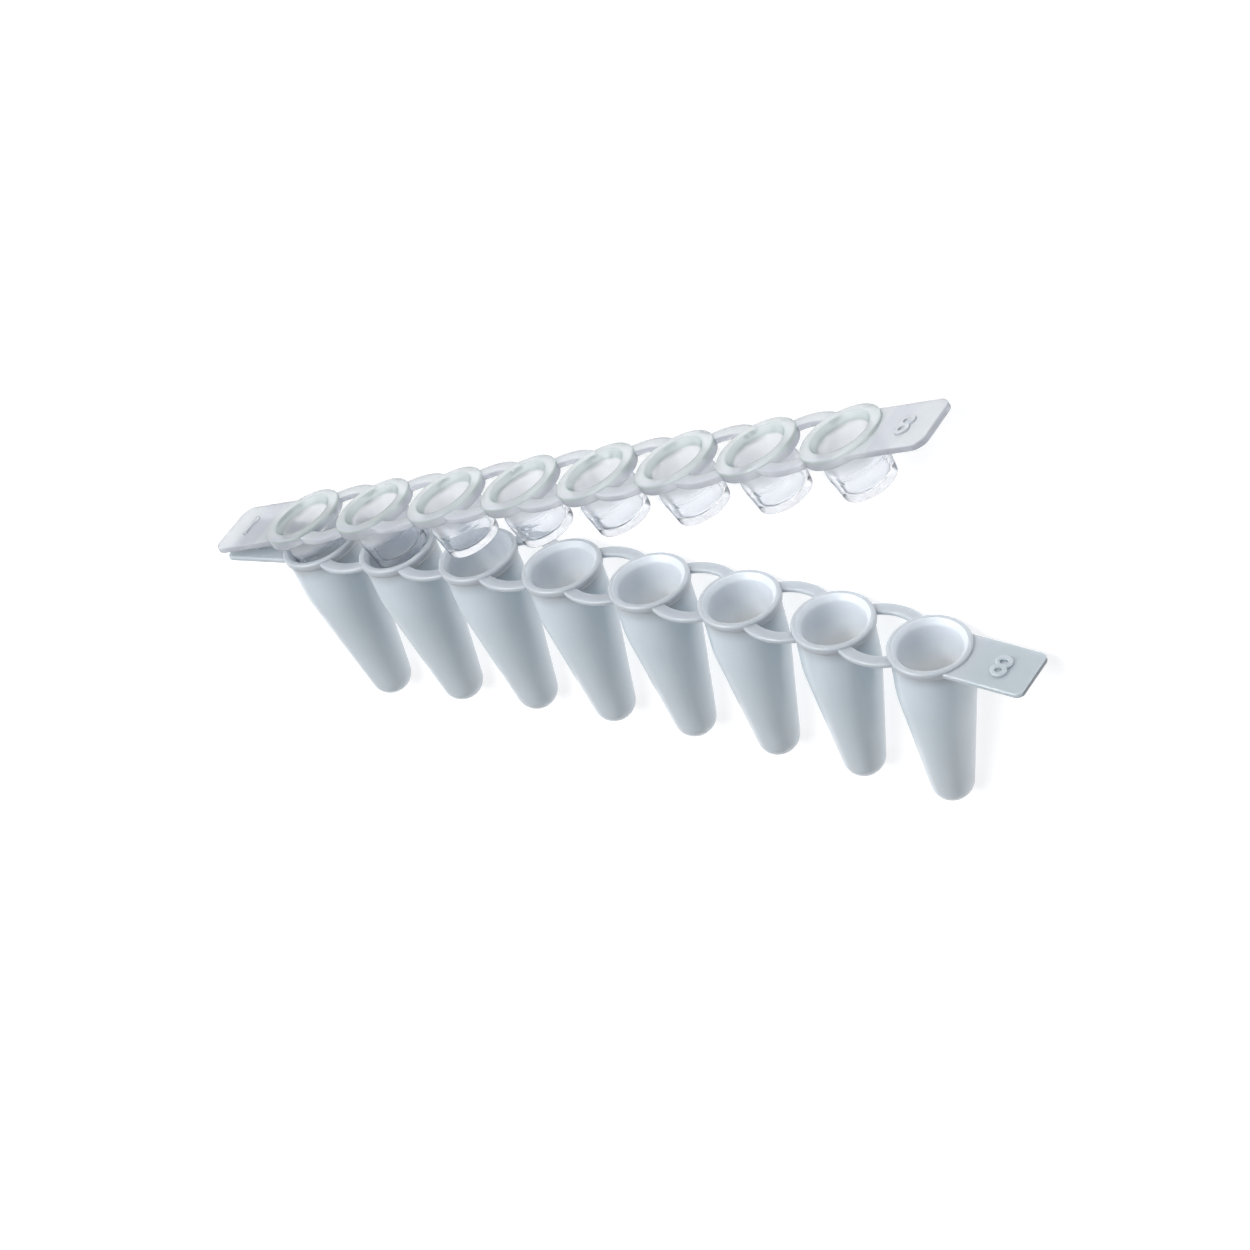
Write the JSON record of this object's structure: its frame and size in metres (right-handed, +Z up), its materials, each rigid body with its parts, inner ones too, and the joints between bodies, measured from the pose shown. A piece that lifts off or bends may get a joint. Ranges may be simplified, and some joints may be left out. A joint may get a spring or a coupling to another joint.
{
  "type": "pcr tube strip",
  "caption": "Strip of low-profile PCR tubes, white, with a separate clear cap strip whose first plug sits in the first tube.",
  "frame": {"origin": "middle of the bottom of the bounding box of both strips, on the bench", "axes": "+X along the row towards the tube that holds a cap, -Y the way the mouths face, +Z up from the bench"},
  "size_m": [0.0824, 0.0406, 0.0091],
  "materials": {
    "tube_plastic": "satin white polypropylene",
    "cap_plastic": "clear glossy polypropylene"
  },
  "bodies": {
    "tubes": {"tube_strip": "tube_plastic"},
    "caps": {"cap_strip": "cap_plastic"}
  },
  "joints": [
    {"name": "cap_swing", "type": "hinge", "parent": "tubes", "child": "caps", "pos_m": [0.04276, 0.00617, 0.00355], "axis": [0, 0.1336, 0.991], "range_deg": [0, 70]}
  ]
}
